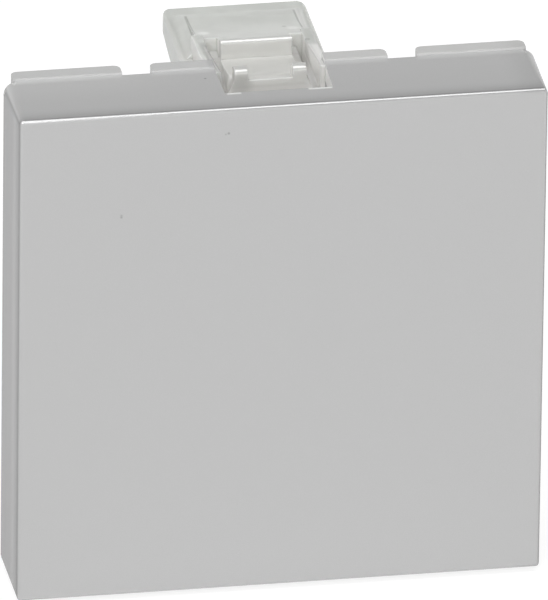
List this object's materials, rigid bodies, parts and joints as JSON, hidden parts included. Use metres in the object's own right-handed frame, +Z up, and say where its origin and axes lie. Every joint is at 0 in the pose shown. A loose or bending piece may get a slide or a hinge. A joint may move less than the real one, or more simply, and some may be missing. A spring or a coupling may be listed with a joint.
{
  "type": "blank wiring module",
  "caption": "Square blank module for a wiring-accessory frame: shallow hollow silver cap with rim tabs and a snap claw at its top and bottom edges.",
  "frame": {"origin": "centre of the module, in the plane of the rim tabs' rear faces, which seat on the support frame", "axes": "X left to right, +Y from the front face to the back, +Z up; the front face looks along -Y"},
  "size_m": [0.045, 0.026, 0.0454],
  "materials": {
    "cover": "satin silver paint on the front and sides, thinning to bare translucent greenish-white plastic on the claws"
  },
  "bodies": {
    "root": {"cover": "cover"}
  },
  "joints": []
}
